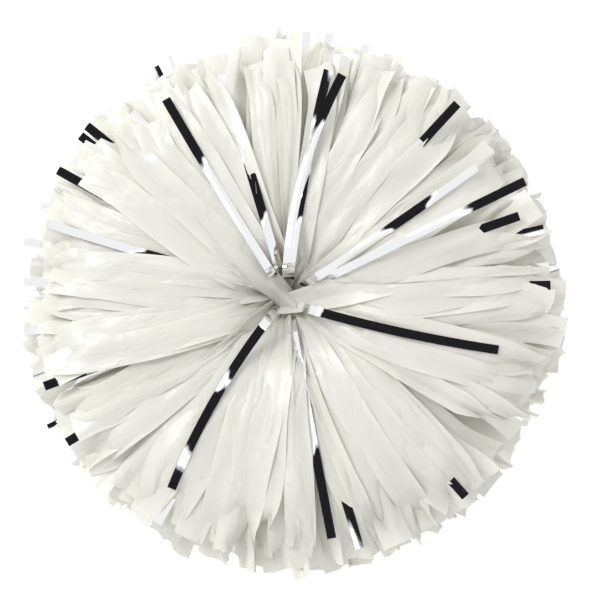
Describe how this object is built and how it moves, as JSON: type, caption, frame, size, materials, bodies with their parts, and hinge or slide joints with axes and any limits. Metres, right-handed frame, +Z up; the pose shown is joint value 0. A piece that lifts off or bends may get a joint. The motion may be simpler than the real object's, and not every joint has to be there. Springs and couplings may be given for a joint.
{
  "type": "cheer pom pom",
  "caption": "Round cheerleading pom pom: fringed bundles of white and silver film streamers tied to both ends of a hidden baton handle.",
  "frame": {"origin": "middle of the face the part rests on, below the baton's axis", "axes": "+Z up the baton from the resting rear bundle to the front bundle; +X along the eyes and the cable ties' long side; +Y across them"},
  "size_m": [0.3326, 0.3326, 0.2431],
  "materials": {
    "white_film": "soft polyethylene film, slightly translucent",
    "flash_film": "metallised polyester film, mirror bright",
    "grip_plastic": "moulded ABS, satin",
    "tie_nylon": "moulded nylon 66"
  },
  "bodies": {
    "baton": {"grip_tube": "grip_plastic", "front_end_plug": "grip_plastic", "rear_end_plug": "grip_plastic"},
    "front_tie": {"front_cable_tie": "tie_nylon"},
    "front_streamers": {"front_flash_sheet_1": "flash_film", "front_white_sheet_2": "white_film", "front_white_sheet_3": "white_film", "front_white_sheet_4": "white_film", "front_flash_sheet_5": "flash_film", "front_white_sheet_6": "white_film", "front_white_sheet_7": "white_film", "front_white_sheet_8": "white_film", "front_flash_sheet_9": "flash_film", "front_white_sheet_10": "white_film", "front_white_sheet_11": "white_film", "front_white_sheet_12": "white_film"},
    "rear_tie": {"rear_cable_tie": "tie_nylon"},
    "rear_streamers": {"rear_flash_sheet_1": "flash_film", "rear_white_sheet_2": "white_film", "rear_white_sheet_3": "white_film", "rear_white_sheet_4": "white_film", "rear_flash_sheet_5": "flash_film", "rear_white_sheet_6": "white_film", "rear_white_sheet_7": "white_film", "rear_white_sheet_8": "white_film", "rear_flash_sheet_9": "flash_film", "rear_white_sheet_10": "white_film", "rear_white_sheet_11": "white_film", "rear_white_sheet_12": "white_film"}
  },
  "joints": [
    {"name": "front_rock", "type": "hinge", "parent": "baton", "child": "front_tie", "pos_m": [0, 0, 0.1745], "axis": [1, 0, 0], "range_deg": [-7, 7]},
    {"name": "front_twist", "type": "hinge", "parent": "front_tie", "child": "front_streamers", "pos_m": [0, 0, 0.1745], "axis": [0, 0, 1], "range_deg": [-8, 8]},
    {"name": "rear_rock", "type": "hinge", "parent": "baton", "child": "rear_tie", "pos_m": [0, 0, 0.0515], "axis": [1, 0, 0], "range_deg": [-7, 7]},
    {"name": "rear_twist", "type": "hinge", "parent": "rear_tie", "child": "rear_streamers", "pos_m": [0, 0, 0.0515], "axis": [0, 0, 1], "range_deg": [-8, 8]}
  ]
}
